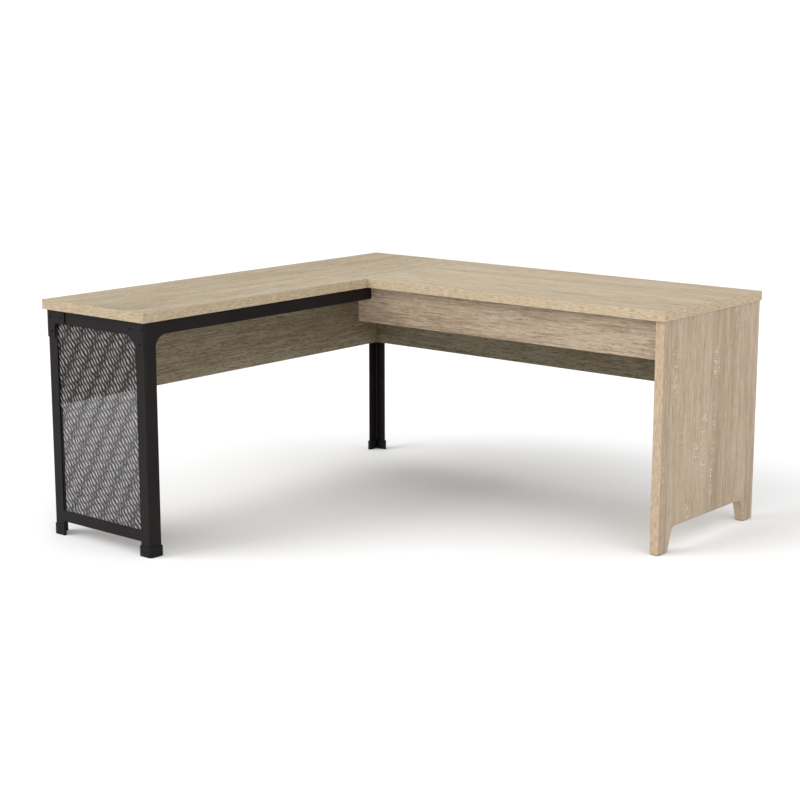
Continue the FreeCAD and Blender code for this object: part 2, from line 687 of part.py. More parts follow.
def turned(profile):
    """Turns a closed profile, given as edges in its own X and Z, about Z."""
    face = Part.Face(Part.Wire(profile))
    return face.revolve(vector(0, 0, 0), vector(0, 0, 1), 360)


def lines(*points):
    spots = [vector(radius, 0, height) for radius, height in points]
    return [Part.makeLine(start, end) for start, end in zip(spots, spots[1:])]


def button_bolt(length):
    """Button head bolt with a hexagon socket. It enters the work along +Z from its origin."""
    shank = amount("bolt_diameter") / 2
    head = amount("bolt_head_diameter") / 2
    rise = amount("bolt_head_height")
    crown = Part.Arc(vector(0, 0, -rise), vector(0.62 * head, 0, -0.8 * rise),
                     vector(head, 0, -0.25 * rise)).toShape()
    profile = [crown] + lines((head, -0.25 * rise), (head, 0), (shank, 0), (shank, length - 0.6),
                              (shank - 0.6, length), (0, length), (0, -rise))
    above = 1
    socket = hexagon(amount("socket_width"), -rise - above, amount("socket_depth") + above)
    return turned(profile).cut(socket)


def hexagon(across_flats, level, height):
    radius = across_flats / math.sqrt(3)
    corners = [vector(radius * math.cos(math.radians(60 * count)),
                      radius * math.sin(math.radians(60 * count)), level) for count in range(7)]
    return Part.Face(Part.makePolygon(corners)).extrude(vector(0, 0, height))


def hex_nut():
    """Hexagon nut with chamfered corners, whose face against the work is at its origin."""
    height = amount("nut_height")
    width = amount("nut_width")
    corner = width / math.sqrt(3)
    rounding = turned(lines((0, 0), (corner, 0), (corner, height - 0.8), (0.5 * width, height),
                            (0, height), (0, 0)))
    bore = Part.makeCylinder(amount("bolt_diameter") / 2, height)
    return hexagon(width, 0, height).common(rounding).cut(bore)


def pan_screw(length):
    """Pan head screw with a cross recess and a pointed end, entering along +Z."""
    shank = amount("screw_diameter") / 2
    head = amount("screw_head_diameter") / 2
    rise = amount("screw_head_height")
    crown = Part.Arc(vector(0, 0, -rise), vector(0.7 * head, 0, -0.85 * rise),
                     vector(head, 0, -0.35 * rise)).toShape()
    profile = [crown] + lines((head, -0.35 * rise), (head, 0), (shank, 0),
                              (shank, length - 2 * shank), (0, length), (0, -rise))
    slot = amount("slot_width")
    above = 1
    depth = 0.6 * rise + above
    corner = -0.6 * head
    bar = Part.makeBox(1.2 * head, slot, depth, vector(corner, -slot / 2, -rise - above))
    crossbar = Part.makeBox(slot, 1.2 * head, depth, vector(-slot / 2, corner, -rise - above))
    return turned(profile).cut(bar.fuse(crossbar))


def cleat():
    """Small angle cleat, 22 wide along its own X: one leg on the plane Z = 0 and reaching along
    +Y, the other on the plane Y = 0 and reaching down, with a screw hole in each."""
    reach = amount("cleat_reach")
    wall = amount("cleat_wall")
    width = amount("cleat_width")
    hole = amount("cleat_hole_reach")
    lying = Part.makeBox(width, reach, wall, vector(-width / 2, 0, -wall))
    standing = Part.makeBox(width, wall, reach, vector(-width / 2, 0, -reach))
    radius = amount("cleat_hole") / 2
    bores = [Part.makeCylinder(radius, wall, vector(0, hole, -wall)),
             Part.makeCylinder(radius, wall, vector(0, 0, -hole), vector(0, 1, 0))]
    solid = lying.fuse(standing).removeSplitter()
    inner = [edge for edge in solid.Edges if passes_through(edge, y=wall, z=-wall)]
    return solid.makeFillet(1.5, inner).cut(bores)


def spot(x, y, z):
    """A point from three formulas in desk coordinates."""
    return vector(amount(x), amount(y), amount(z))


def facing(point, direction):
    """Placement that carries the origin to the point and +Z to the direction."""
    return FreeCAD.Placement(point, FreeCAD.Rotation(vector(0, 0, 1), vector(*direction)))


def group(label, shape, placements):
    """One node that holds a copy of the shape at every placement, in desk coordinates."""
    copies = []
    for placement in placements:
        copy = shape.copy()
        copy.Placement = placement
        copies.append(copy)
    feature = doc.addObject("Part::Feature", label)
    feature.Shape = Part.makeCompound(copies)
    feature.Placement = FreeCAD.Placement(
        vector(-amount("desk_width") / 2, -amount("desk_depth") / 2, 0), FreeCAD.Rotation())
    NODES.append(feature)


def bolt_seats():
    """Point under the head and direction of every bracket bolt that has a nut, on the faces of
    the front bracket and the rear bracket."""
    end_face = f"{FRONT_STEEL} - bracket_wall"
    seats = []
    for reach, drop in (NEAR, FAR, LOW):
        level = f"{UNDERSIDE} - {drop}"
        seats.append((spot(f"{INNER_STEEL} - {reach}", end_face, level), BACK))
        seats.append((spot(f"{LEFT_STEEL} + {reach}", end_face, level), BACK))
        seats.append((spot(f"{INNER_STEEL} + bracket_wall", f"{FRONT_STEEL} + {reach}", level),
                      LEFT))
    for reach, drop in (NEAR, LOW):
        level = f"{UNDERSIDE} - {drop}"
        seats.append((spot(f"{LEFT_STEEL} - bracket_wall", f"{FRONT_STEEL} + {reach}", level),
                      RIGHT))
    return seats


def bracket_bolts_and_nuts():
    seats = bolt_seats()
    group("bracket_bolts", button_bolt(amount("bolt_length")),
          [facing(point, direction) for point, direction in seats])
    grip = amount("bracket_wall + steel_wall")
    group("bracket_nuts", hex_nut(),
          [facing(point + vector(*direction) * grip, direction) for point, direction in seats])


def panel_screws():
    """Screws that hold the hanging panels to the legs, rails and brackets from outside."""
    bracket_levels = (BOLT_LEVEL, LOW_BOLT_LEVEL)
    corner = amount(f"{BACK_STEEL} - bracket_reach")
    rear = amount(f"{FRONT_STEEL} + bracket_reach")
    placements = []
    for y, z in side_screws():
        under_bracket = z in bracket_levels and not rear < amount(y) < corner
        proud = "bracket_wall" if under_bracket else "0"
        placements.append(facing(spot(f"{LEFT_STEEL} - {proud}", y, z), RIGHT))
    for x, z in back_screws():
        under_bracket = z in bracket_levels and amount(x) < amount(f"{LEFT_STEEL} + bracket_reach")
        proud = "bracket_wall" if under_bracket else "0"
        placements.append(facing(spot(x, f"{BACK_STEEL} + {proud}", z), FORWARD))
    group("panel_screws", button_bolt(amount("bolt_length - 2")), placements)


def rail_screws():
    """Screws up through the lying flanges of the rails into the return board."""
    level = f"{UNDERSIDE} - steel_wall"
    front = f"{FRONT_STEEL} + rail_screw_setback"
    back = f"{BACK_STEEL} - rail_screw_setback"
    inner = f"{INNER_STEEL} - rail_screw_setback"
    outer = f"{LEFT_STEEL} + rail_screw_setback"
    points = [spot(f"{LEFT_STEEL} + leg_width + {run}", front, level) for run in END_RAIL_SCREWS]
    points += [spot(inner, f"{RAIL_FRONT} + {run}", level) for run in INNER_RAIL_SCREWS]
    points += [spot(outer, f"{RAIL_BACK} - {run}", level) for run in OUTER_RAIL_SCREWS]
    points += [spot(f"{LEFT_STEEL} + leg_width + back_rail_length - {run}", back, level)
               for run in BACK_RAIL_SCREWS]
    group("rail_screws", pan_screw(amount("rail_screw_length")),
          [facing(point, UP) for point in points])


def batten_screws():
    level = f"{UNDERSIDE} - batten_thickness"
    sides = (f"{SEAM} - batten_screw_inset", f"{SEAM} + batten_screw_inset")
    points = [spot(x, y, level) for x in sides for y in batten_screw_rows()]
    group("batten_screws", pan_screw(amount("batten_screw_length")),
          [facing(point, UP) for point in points])


def cleat_placements():
    """Every cleat as (placement): its lying leg under a board or, where it stands on end, on
    the back panel, with the other leg on the neighbour."""
    def place(x, y, z, rotation):
        return FreeCAD.Placement(spot(x, y, z), rotation)

    away = FreeCAD.Rotation()
    toward = FreeCAD.Rotation(180, 0, 0)
    leftward = FreeCAD.Rotation(90, 0, 0)
    upright = FreeCAD.Rotation(vector(*UP), vector(*FORWARD), vector(*RIGHT), "XYZ")
    batten = f"{UNDERSIDE} - batten_thickness"
    places = [place(x, APRON_BACK, UNDERSIDE, away) for x in APRON_CLEATS]
    places += [place(x, BACK_PANEL_FRONT, UNDERSIDE, toward) for x in BACK_PANEL_CLEATS]
    places += [place(END_INNER, y, UNDERSIDE, leftward) for y in END_PANEL_CLEATS]
    places += [place(SEAM, APRON_BACK, batten, away),
               place(SEAM, BACK_PANEL_FRONT, batten, toward)]
    places += [place(END_INNER, BACK_PANEL_FRONT, z, upright) for z in PANEL_END_CLEATS]
    places += [place(f"{INNER_STEEL} - steel_wall", APRON_FRONT,
                     f"{UNDERSIDE} - rail_width / 2", upright)]
    return places


def cleats_and_screws():
    places = cleat_placements()
    group("cleats", cleat(), places)
    wall = amount("cleat_wall")
    hole = amount("cleat_hole_reach")
    into_board = facing(vector(0, hole, -wall), UP)
    into_panel = facing(vector(0, wall, -hole), FORWARD)
    welded_to_rail = places[-1]
    screws = [place.multiply(into_board) for place in places if place is not welded_to_rail]
    screws += [place.multiply(into_panel) for place in places]
    group("cleat_screws", pan_screw(amount("cleat_screw_length")), screws)


def cam_fittings():
    """Cam locks in the back of the apron and the bolts that they draw from the panel leg."""
    middle = f"{APRON_FRONT} + apron_thickness / 2"
    radius = amount("cam_diameter") / 2
    depth = amount("cam_depth")
    bolt = amount("cam_bolt_diameter") / 2
    reach = amount("cam_reach")
    bite = amount("cam_bolt_bite")
    slot = amount("slot_width")
    lock = Part.makeCylinder(radius, depth)
    middle_of_board = vector(0, 0, amount("apron_thickness") / 2)
    lock = lock.cut(Part.makeCylinder(bolt, radius, middle_of_board, vector(*RIGHT)))
    for length, width in ((radius, slot), (slot, radius)):
        lock = lock.cut(Part.makeBox(length, width, 2, vector(-length / 2, -width / 2, 0)))
    neck = [(0, -reach), (bolt, -reach), (bolt, 0), (bolt, bite - 1), (bolt - 1, bite), (0, bite)]
    cam_bolt = turned(lines(*neck, neck[0]))
    into_apron = FreeCAD.Rotation(vector(*RIGHT), vector(*UP), vector(*FORWARD), "XYZ")
    locks = [FreeCAD.Placement(spot(f"{END_INNER} - cam_reach", APRON_BACK, level), into_apron)
             for level in CAM_LEVELS]
    group("cam_locks", lock, locks)
    group("cam_bolts", cam_bolt,
          [facing(spot(END_INNER, middle, level), RIGHT) for level in CAM_LEVELS])


def dowels():
    radius = amount("dowel_diameter") / 2
    half = amount("dowel_length / 2")
    peg = turned(lines((0, -half), (radius - 1, -half), (radius, 1 - half), (radius, half - 1),
                       (radius - 1, half), (0, half), (0, -half)))
    middle = f"{APRON_FRONT} + apron_thickness / 2"
    places = [facing(spot(END_INNER, middle, DOWEL_LEVEL), RIGHT)]
    places += [facing(spot(x, middle, UNDERSIDE), UP) for x in TOP_DOWELS]
    group("dowels", peg, places)


def panel_glides():
    """Nail-on glides under the two feet of the panel leg."""
    radius = amount("glide_diameter") / 2
    nail = amount("nail_diameter") / 2
    thick = amount("glide_thickness")
    tall = thick + amount("nail_length")
    glide = turned(lines((0, 0), (radius - 1, 0), (radius, 1), (radius, thick), (nail, thick),
                         (nail, tall - 2), (0, tall), (0, 0)))
    x = f"{END_INNER} + end_thickness / 2"
    rows = (f"{END_FRONT} + foot_width / 2", f"{END_FRONT} + {END_DEPTH} - foot_width / 2")
    group("panel_glides", glide, [facing(spot(x, y, "0"), UP) for y in rows])


# ---------------------------------------------------------------- build, check and write


def build():
    return_top()
    main_top()
    seam_batten()
    apron()
    main_modesty_panel()
    return_modesty_panel()
    end_panel()
    legs()
    upper_rails()
    end_bottom_rail()
    brackets()
    boots()
    mesh_infill()
    bracket_bolts_and_nuts()
    panel_screws()
    rail_screws()
    batten_screws()
    cleats_and_screws()
    cam_fittings()
    dowels()
    panel_glides()
    doc.recompute()


def check():
    for item in doc.Objects:
        if "Invalid" in item.State or "Error" in item.State:
            raise RuntimeError(f"{item.Label} failed: {item.State}")
    for node in NODES:
        if node.Shape.isNull() or not node.Shape.isValid():
            raise RuntimeError(f"{node.Label} has no valid shape")


def write():
    os.makedirs("parts", exist_ok=True)
    for node in NODES:
        node.Shape.exportStep(os.path.join("parts", f"{node.Label}.step"))
    print(f"{len(NODES)} sub-parts written")


build()
check()
write()
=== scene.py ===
"""The looks of the corner desk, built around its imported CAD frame. Lengths are in metres."""

import json
import math

import bpy
import numpy as np
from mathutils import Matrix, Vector


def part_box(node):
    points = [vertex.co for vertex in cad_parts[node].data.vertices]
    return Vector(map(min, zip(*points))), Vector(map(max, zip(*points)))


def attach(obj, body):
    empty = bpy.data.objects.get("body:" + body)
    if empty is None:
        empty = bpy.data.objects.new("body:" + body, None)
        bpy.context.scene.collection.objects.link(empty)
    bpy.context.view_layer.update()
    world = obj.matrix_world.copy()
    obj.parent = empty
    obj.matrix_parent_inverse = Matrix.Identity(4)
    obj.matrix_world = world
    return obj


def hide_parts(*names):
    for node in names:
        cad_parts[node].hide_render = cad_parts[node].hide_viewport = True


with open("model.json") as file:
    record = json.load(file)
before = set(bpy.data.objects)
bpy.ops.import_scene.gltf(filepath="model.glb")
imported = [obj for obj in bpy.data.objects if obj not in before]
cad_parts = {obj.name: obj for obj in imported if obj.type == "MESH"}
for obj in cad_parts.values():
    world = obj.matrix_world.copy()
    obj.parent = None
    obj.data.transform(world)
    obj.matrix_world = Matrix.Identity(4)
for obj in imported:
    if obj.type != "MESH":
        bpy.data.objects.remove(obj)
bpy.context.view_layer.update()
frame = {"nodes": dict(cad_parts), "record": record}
NODES = frame["nodes"]

MM = 0.001

# The axes, by their place in a vector
X = 0
Y = 1
Z = 2

# Camera: its place, its tilt up from straight down and its turn about Z in degrees, and its
# lens and sensor in millimetres
CAMERA_PLACE = (3.480, -4.212, 1.521)
CAMERA_TILT = 78.48
CAMERA_TURN = 39.82
CAMERA_LENS = 79.96
CAMERA_SENSOR = 36
CAMERA_REACH = 200.0

# Stage: the surround is white to look at, and dimmer as a light
SURROUND_LIGHT = 0.45
SURROUND_WHITE = 1.05
FLOOR_REACH = 40.0             # from the desk's middle to each edge of the floor

# Expanded metal
STRAND_LENGTH = 9.86 * MM      # one diamond, bond to bond, along X
STRAND_HEIGHT = 3.71 * MM      # one diamond, bond to bond, along Z
STRAND_WIDTH = 1.80 * MM
STRAND_THICKNESS = 0.25 * MM
STRAND_LEAN = 48               # degrees: the upper edge of each strand leans away from the front
BOND_SHARE = 0.16              # the part of a diamond's length that each bond takes
SHEET_PIECES = 4
# The painted highlight and shade streaks on it: spacing in millimetres, slant in degrees, and
# strength
PAINTED_SHEEN_STREAKS = ((13.3, 44.5, 1.0), (12.3, 32.4, 0.8), (13.6, 4.7, 0.6))

# Colours of the steel, the painted highlight and shade of the mesh strands, the hardware, the
# boots and the dowels
COAT_BLACK = (0.0066, 0.0048, 0.0048)
OXIDE_BLACK = (0.005, 0.005, 0.005)
ZINC = (0.62, 0.61, 0.58)
STRAND_PAINTED_SHADE = (0.004, 0.003, 0.003)
STRAND_PAINTED_HIGHLIGHT = (0.50, 0.47, 0.48)
PLASTIC_DARK = (0.004, 0.004, 0.004)
PLASTIC_BLACK = (0.007, 0.007, 0.007)
PLASTIC_SCUFF = (0.020, 0.019, 0.018)
BEECH_DARK = (0.46, 0.30, 0.17)
BEECH_LIGHT = (0.62, 0.44, 0.28)
BEECH_RAY = (0.32, 0.18, 0.09)

# Colours of the oak foil
OAK_DARK = (0.285, 0.217, 0.146)
OAK_MIDDLE = (0.402, 0.324, 0.238)
OAK_LIGHT = (0.482, 0.404, 0.308)
OAK_PORE = (0.180, 0.126, 0.078)
OAK_RAY = (0.600, 0.525, 0.420)
OAK_BAND_TINT = (1.08, 1.05, 1.01)


# ---------------------------------------------------------------- node helpers

def new_material(name):
    """A material with a Principled shader. Returns the material, its tree and the shader."""
    material = bpy.data.materials.new(name)
    material.use_nodes = True
    tree = material.node_tree
    return material, tree, tree.nodes["Principled BSDF"]


def add(tree, kind, **inputs):
    """A node of that kind, with its inputs set to values or linked to sockets. An input's name
    has _ for a space."""
    node = tree.nodes.new(kind)
    for name, value in inputs.items():
        plug(tree, node.inputs[name.replace("_", " ")], value)
    return node


def plug(tree, socket, value):
    if isinstance(value, bpy.types.NodeSocket):
        tree.links.new(value, socket)
    else:
        socket.default_value = value


def calculate(tree, operation, first, second=0.0):
    """A sum on two values, or on the first alone where the operation takes one."""
    node = tree.nodes.new("ShaderNodeMath")
    node.operation = operation
    plug(tree, node.inputs[0], first)
    plug(tree, node.inputs[1], second)
    return node.outputs[0]


def weighted(tree, *layers):
    """The sum of the (value, weight) layers."""
    total = None
    for value, weight in layers:
        share = calculate(tree, "MULTIPLY", value, weight)
        total = share if total is None else calculate(tree, "ADD", total, share)
    return total


def remap(tree, value, low, high, new_low=0.0, new_high=1.0):
    """Maps low..high to new_low..new_high, and holds the ends."""
    node = add(tree, "ShaderNodeMapRange", Value=value, From_Min=low, From_Max=high,
               To_Min=new_low, To_Max=new_high)
    return node.outputs["Result"]


def mix(tree, factor, first, second, blend="MIX"):
    """The first colour with the second laid over it by the factor."""
    node = tree.nodes.new("ShaderNodeMix")
    node.data_type = "RGBA"
    node.blend_type = blend
    plug(tree, node.inputs["Factor"], factor)
    for name, value in (("A", first), ("B", second)):
        socket = [s for s in node.inputs if s.name == name and s.type == "RGBA"][0]
        plug(tree, socket, value if isinstance(value, bpy.types.NodeSocket) else (*value, 1))
    return [s for s in node.outputs if s.type == "RGBA"][0]


def ramp(tree, value, stops):
    """A colour ramp with the given (position, colour) stops."""
    node = add(tree, "ShaderNodeValToRGB", Fac=value)
    elements = node.color_ramp.elements
    while len(elements) < len(stops):
        elements.new(0.5)
    for element, (position, colour) in zip(elements, stops):
        element.position = position
        element.color = (*colour, 1)
    return node.outputs["Color"]


def stretched_noise(tree, scale, seed, detail=2.0, distortion=0.0):
    """Noise with its own scale along X, Y and Z, in cells per metre."""
    coordinates = tree.nodes.new("ShaderNodeTexCoord").outputs["Object"]
    mapping = add(tree, "ShaderNodeMapping", Vector=coordinates, Scale=scale,
                  Location=(seed * 3.1, seed * 7.7, seed * 5.3))
    noise = add(tree, "ShaderNodeTexNoise", Vector=mapping.outputs["Vector"], Scale=1.0,
                Detail=detail, Distortion=distortion)
    return noise.outputs["Fac"]


def even_noise(tree, scale, seed, detail=2.0):
    return stretched_noise(tree, (scale, scale, scale), seed, detail)


def along_noise(tree, axis, along, across, seed, detail=2.0, distortion=0.0):
    """Noise stretched along one axis: so many cells per metre along it and across it."""
    scale = [across, across, across]
    scale[axis] = along
    return stretched_noise(tree, scale, seed, detail, distortion)


def bump(tree, height, distance, strength=0.5):
    node = add(tree, "ShaderNodeBump", Height=height, Distance=distance, Strength=strength)
    return node.outputs["Normal"]


def scaled(colour, factor):
    return tuple(factor * part for part in colour)


def dress(tree, shader, colour, roughness, normal, specular=0.5):
    """Links what varies over a surface to its shader, and sets its even specular level."""
    tree.links.new(colour, shader.inputs["Base Color"])
    tree.links.new(roughness, shader.inputs["Roughness"])
    tree.links.new(normal, shader.inputs["Normal"])
    shader.inputs["Specular IOR Level"].default_value = specular


# ---------------------------------------------------------------- materials

def oak_face(tree, axis, seed, fleck, dashes, calm):
    """The broad face of an oak foil with its grain along one axis. Returns its colour,
    roughness and height."""
    board = along_noise(tree, axis, 0.8, 7.0, seed + 1, 2.0, 0.5)
    streak = along_noise(tree, axis, 1.8, 46.0, seed + 2, 3.0, 0.8)
    line = along_noise(tree, axis, 9.0, 165.0, seed + 3, 3.0, 0.5)
    fibre = along_noise(tree, axis, 34.0, 560.0, seed + 4)
    figure = weighted(tree, (board, 0.20), (streak, 0.19), (line, 0.37), (fibre, 0.24))
    colour = ramp(tree, figure, [(0.43, OAK_DARK), (0.50, OAK_MIDDLE), (0.57, OAK_LIGHT)])
    colour = mix(tree, calm, colour, OAK_MIDDLE)

    pore = along_noise(tree, axis, 34.0, 380.0, seed + 5, 2.0, 1.2)
    dash = remap(tree, pore, 0.53, 0.64)
    colour = mix(tree, calculate(tree, "MULTIPLY", dash, dashes), colour, OAK_PORE)

    # The pale rays lie across the grain, and gather in patches along it.
    ray = along_noise(tree, axis, 150.0, 32.0, seed + 6, 1.0, 1.2)
    patch = along_noise(tree, axis, 3.2, 20.0, seed + 7, 1.0)
    rays = calculate(tree, "MULTIPLY", remap(tree, ray, 0.56, 0.66),
                     remap(tree, patch, 0.56, 0.66))
    colour = mix(tree, calculate(tree, "MULTIPLY", rays, fleck), colour, OAK_RAY)

    gloss = weighted(tree, (fibre, 0.5), (streak, 0.5))
    roughness = remap(tree, gloss, 0.35, 0.65, 0.62, 0.46)
    height = calculate(tree, "SUBTRACT", fibre, calculate(tree, "MULTIPLY", dash, 0.6))
    return colour, roughness, height


def oak_band(tree, direction, seed):
    """The colour of an edge band whose fine grain runs in that direction."""
    speck = along_noise(tree, direction, 50.0, 460.0, seed, 2.0, 0.5)
    return ramp(tree, speck, [(0.30, OAK_DARK), (0.50, OAK_MIDDLE), (0.70, OAK_LIGHT)])


def oak(name, axis, thick, seed, tone_and_painted_shade, fleck=0.15, dashes=0.5, calm=0.0):
    """Oak-grained foil with edge bands. The grain of the faces runs along one axis, and the
    board is thin along another. Its pale flecks, its short dark dashes and how calm its
    streaks are each have a strength from 0 to 1. Its tone multiplies the whole board, and on the
    two modesty panels it is painted shade."""
    material, tree, shader = new_material(name)
    colour, roughness, height = oak_face(tree, axis, seed, fleck, dashes, calm)

    # The bands are a little paler than the faces, and their grain runs along each edge.
    normal = tree.nodes.new("ShaderNodeTexCoord").outputs["Normal"]
    parts = add(tree, "ShaderNodeSeparateXYZ", Vector=normal).outputs
    on_edge = remap(tree, calculate(tree, "ABSOLUTE", parts[thick]), 0.4, 0.6, 1.0, 0.0)
    on_end = remap(tree, calculate(tree, "ABSOLUTE", parts[axis]), 0.4, 0.6)
    across = X + Y + Z - axis - thick
    band = mix(tree, on_end, oak_band(tree, axis, seed + 8), oak_band(tree, across, seed + 8))
    band = mix(tree, 1.0, band, OAK_BAND_TINT, "MULTIPLY")
    colour = mix(tree, on_edge, colour, band)
    # The tone multiplies the whole board; on the modesty panels it darkens them as painted
    # shade.
    colour = mix(tree, 1.0, colour, tone_and_painted_shade, "MULTIPLY")
    dress(tree, shader, colour, roughness, bump(tree, height, 0.22 * MM, 0.55), 0.30)
    return material


def coated_steel(name, colour, roughness, grain):
    """Powder coat: a fine orange peel of so many cells per metre, with broad soft changes of
    sheen and a little wear."""
    material, tree, shader = new_material(name)
    peel = even_noise(tree, grain, 2.0)
    cloud = even_noise(tree, 9.0, 5.0, 3.0)
    rub = along_noise(tree, Z, 22.0, 60.0, 8.0, 4.0, 0.4)
    tone = ramp(tree, cloud, [(0.32, scaled(colour, 0.72)), (0.50, colour),
                              (0.70, scaled(colour, 1.35))])
    worn = calculate(tree, "MULTIPLY", remap(tree, rub, 0.62, 0.74), 0.25)
    tone = mix(tree, worn, tone, scaled(colour, 2.2))
    # The two layers come to 0.13 on average.
    uneven = weighted(tree, (cloud, 0.16), (peel, 0.10))
    rough = calculate(tree, "ADD", uneven, roughness - 0.13)
    dress(tree, shader, tone, rough, bump(tree, peel, 0.06 * MM), 0.16)
    return material


def painted_sheen_mesh_coat():
    """Powder coat of the expanded metal. Its light and dark slanting streaks are painted
    highlight and shade, standing for the lit and shaded strand faces and the shimmer that fine
    strands show in a coarse picture."""
    material, tree, shader = new_material("painted_sheen_mesh_coat")
    coordinates = tree.nodes.new("ShaderNodeTexCoord").outputs["Object"]
    x, _, z = add(tree, "ShaderNodeSeparateXYZ", Vector=coordinates).outputs
    sway = along_noise(tree, Z, 17.0, 26.0, 3.0, 1.0)
    cloud = even_noise(tree, 90.0, 4.0)
    layers = [(cloud, 1.6)]
    # Each wave is one streak of painted highlight and shade.
    for spacing, slant, strength in PAINTED_SHEEN_STREAKS:
        along_x = math.cos(math.radians(slant)) / (spacing * MM)
        along_z = math.sin(math.radians(slant)) / (spacing * MM)
        turns = weighted(tree, (x, along_x), (z, along_z), (sway, 1.1))
        wave = calculate(tree, "SINE", calculate(tree, "MULTIPLY", turns, math.tau))
        layers.append((wave, strength))
    sheen = remap(tree, weighted(tree, *layers), -0.3, 2.5)
    # Black to dark is painted shade, and the pale end is painted highlight.
    tone = ramp(tree, sheen, [(0.0, (0.0, 0.0, 0.0)), (0.45, STRAND_PAINTED_SHADE), (1.0, STRAND_PAINTED_HIGHLIGHT)])
    rough = remap(tree, cloud, 0.3, 0.7, 0.36, 0.52)
    peel = even_noise(tree, 1800.0, 2.0)
    dress(tree, shader, tone, rough, bump(tree, peel, 0.05 * MM), 0.30)
    return material


def moulded_plastic():
    """Black boot plastic with a fine spark-eroded texture and faint scuffs."""
    material, tree, shader = new_material("black_plastic")
    texture = even_noise(tree, 2600.0, 3.0, 1.0)
    scuff = along_noise(tree, Z, 240.0, 30.0, 4.0, 3.0, 0.6)
    tone = ramp(tree, scuff, [(0.40, PLASTIC_DARK), (0.62, PLASTIC_BLACK),
                              (0.74, PLASTIC_SCUFF)])
    rough = remap(tree, texture, 0.3, 0.7, 0.42, 0.60)
    dress(tree, shader, tone, rough, bump(tree, texture, 0.05 * MM), 0.16)
    return material


def zinc_plate():
    """Zinc-plated hardware, with turning marks round Z and a faint stain."""
    material, tree, shader = new_material("zinc_plate")
    turning = along_noise(tree, Z, 140.0, 700.0, 6.0)
    stain = even_noise(tree, 140.0, 7.0, 3.0)
    tone = ramp(tree, stain, [(0.35, scaled(ZINC, 0.65)), (0.60, ZINC)])
    rough = remap(tree, turning, 0.3, 0.7, 0.24, 0.42)
    dress(tree, shader, tone, rough, bump(tree, turning, 0.04 * MM, 0.4))
    shader.inputs["Metallic"].default_value = 1.0
    return material


def beech():
    """Dowels of bare beech: pale, with short dark ray marks."""
    material, tree, shader = new_material("beech")
    fibre = along_noise(tree, Z, 60.0, 300.0, 1.0, 3.0)
    ray = along_noise(tree, Z, 260.0, 900.0, 2.0, 1.0)
    tone = ramp(tree, fibre, [(0.35, BEECH_DARK), (0.65, BEECH_LIGHT)])
    marks = calculate(tree, "MULTIPLY", remap(tree, ray, 0.60, 0.68), 0.5)
    tone = mix(tree, marks, tone, BEECH_RAY)
    rough = remap(tree, fibre, 0.3, 0.7, 0.70, 0.55)
    dress(tree, shader, tone, rough, bump(tree, fibre, 0.1 * MM))
    return material


def pale_floor():
    """A matt white floor, with a very faint cloud in it."""
    material, tree, shader = new_material("pale_floor")
    cloud = even_noise(tree, 0.6, 9.0)
    tone = ramp(tree, cloud, [(0.30, (0.81, 0.81, 0.81)), (0.70, (0.84, 0.84, 0.84))])
    tree.links.new(tone, shader.inputs["Base Color"])
    shader.inputs["Roughness"].default_value = 0.9
    return material


# ---------------------------------------------------------------- finishes of the CAD nodes

def soften(piece):
    """Rounds the sharp edges of a board, for the light that they catch."""
    modifier = piece.modifiers.new("soft_edges", "BEVEL")
    modifier.width = 0.7 * MM
    modifier.segments = 2
    modifier.limit_method = "ANGLE"
    modifier.angle_limit = math.radians(40)


def oak_boards():
    """The oak of each board, by its node. Each has its own grain, tone and figure. The dark
    tones of the two modesty panels are painted shade, for the shade they hang in under the desk.
    """
    return {
        "return_top": oak("oak_return_top", Y, Z, 11.0, (0.94, 0.95, 0.89),
                          dashes=0.4, calm=0.2),
        "main_top": oak("oak_main_top", X, Z, 23.0, (1.04, 1.04, 0.99),
                        dashes=0.4, calm=0.2),
        "apron": oak("oak_apron", X, Y, 31.0, (0.88, 0.84, 0.80),
                     fleck=0.10, dashes=0.6),
        # The dark tones of the two modesty panels are painted shade under the desk.
        "main_modesty_panel": oak("oak_main_panel_painted_shade", X, Y, 43.0, (0.53, 0.56, 0.49),
                                  fleck=0.12, dashes=1.0),
        "return_modesty_panel": oak("oak_return_panel_painted_shade", Y, X, 57.0, (0.62, 0.64, 0.57),
                                    fleck=0.12, dashes=1.0),
        "end_panel": oak("oak_end_panel", Z, X, 61.0, (1.01, 0.97, 0.94),
                         fleck=0.75, dashes=0.3, calm=0.35),
        "seam_batten": oak("oak_batten", Y, Z, 71.0, (0.95, 0.95, 0.95)),
    }


def finish_nodes():
    """Gives each CAD node its own oak, or the finish of its slot."""
    oaks = oak_boards()
    black = coated_steel("black_powder_coat", COAT_BLACK, 0.45, 1400.0)
    finishes = {
        "black_steel": black,
        "black_mesh": black,
        "black_plastic": moulded_plastic(),
        "black_hardware": coated_steel("black_oxide", OXIDE_BLACK, 0.36, 2600.0),
        "zinc_hardware": zinc_plate(),
        "beech": beech(),
    }
    slots = {part["node"]: part["material_slot"] for part in frame["record"]["subparts"]}
    for name, node in NODES.items():
        material = oaks.get(name) or finishes[slots[name]]
        node.data.materials.clear()
        node.data.materials.append(material)
    for name in oaks:
        soften(NODES[name])


# ---------------------------------------------------------------- expanded metal

def new_object(name, data):
    piece = bpy.data.objects.new(name, data)
    bpy.context.scene.collection.objects.link(piece)
    return piece


def strand_section():
    """The corners of a strand's flat leaning section, as (depth, height) from its middle."""
    lean = math.radians(STRAND_LEAN)
    wide = np.array([math.sin(lean), math.cos(lean)]) * STRAND_WIDTH / 2
    thick = np.array([-math.cos(lean), math.sin(lean)]) * STRAND_THICKNESS / 2
    return np.array([-wide - thick, wide - thick, wide + thick, -wide + thick])


